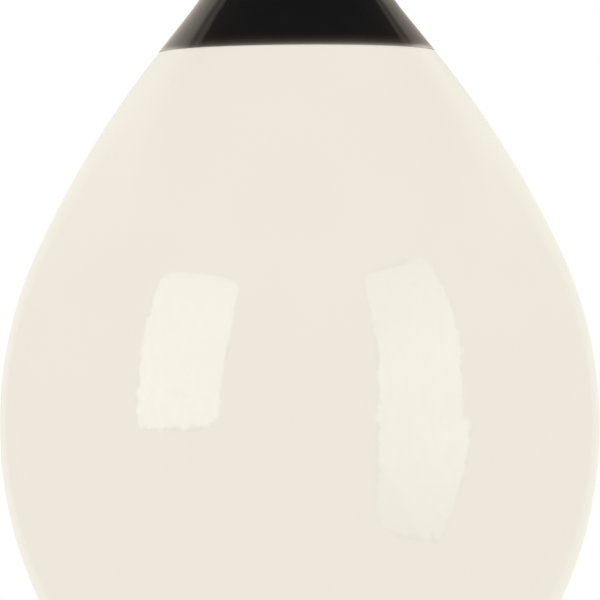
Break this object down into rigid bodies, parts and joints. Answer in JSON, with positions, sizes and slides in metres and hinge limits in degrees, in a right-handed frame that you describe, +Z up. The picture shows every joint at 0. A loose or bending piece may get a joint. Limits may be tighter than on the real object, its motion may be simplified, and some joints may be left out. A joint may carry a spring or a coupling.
{
  "type": "ball fender",
  "caption": "Inflated teardrop boat fender of glossy cream vinyl that draws in to a black neck with a round rope eye and a screw-plug air valve.",
  "frame": {"origin": "centre of the rope hole in the eye", "axes": "+Z up along the axis of the ball, from the ball to the eye; +Y along the rope hole, towards the side that has the valve; +X to the right, seen from the plain side"},
  "size_m": [0.4699, 0.47, 0.7523],
  "materials": {
    "body_vinyl": "gloss",
    "coat_vinyl": "gloss",
    "housing_plastic": "satin",
    "plug_nylon": "satin",
    "seal_rubber": "matte"
  },
  "bodies": {
    "root": {"fender_body": "body_vinyl", "top_coat": "coat_vinyl", "valve_housing": "housing_plastic", "valve_screw": "plug_nylon", "valve_seal": "seal_rubber"}
  },
  "joints": []
}
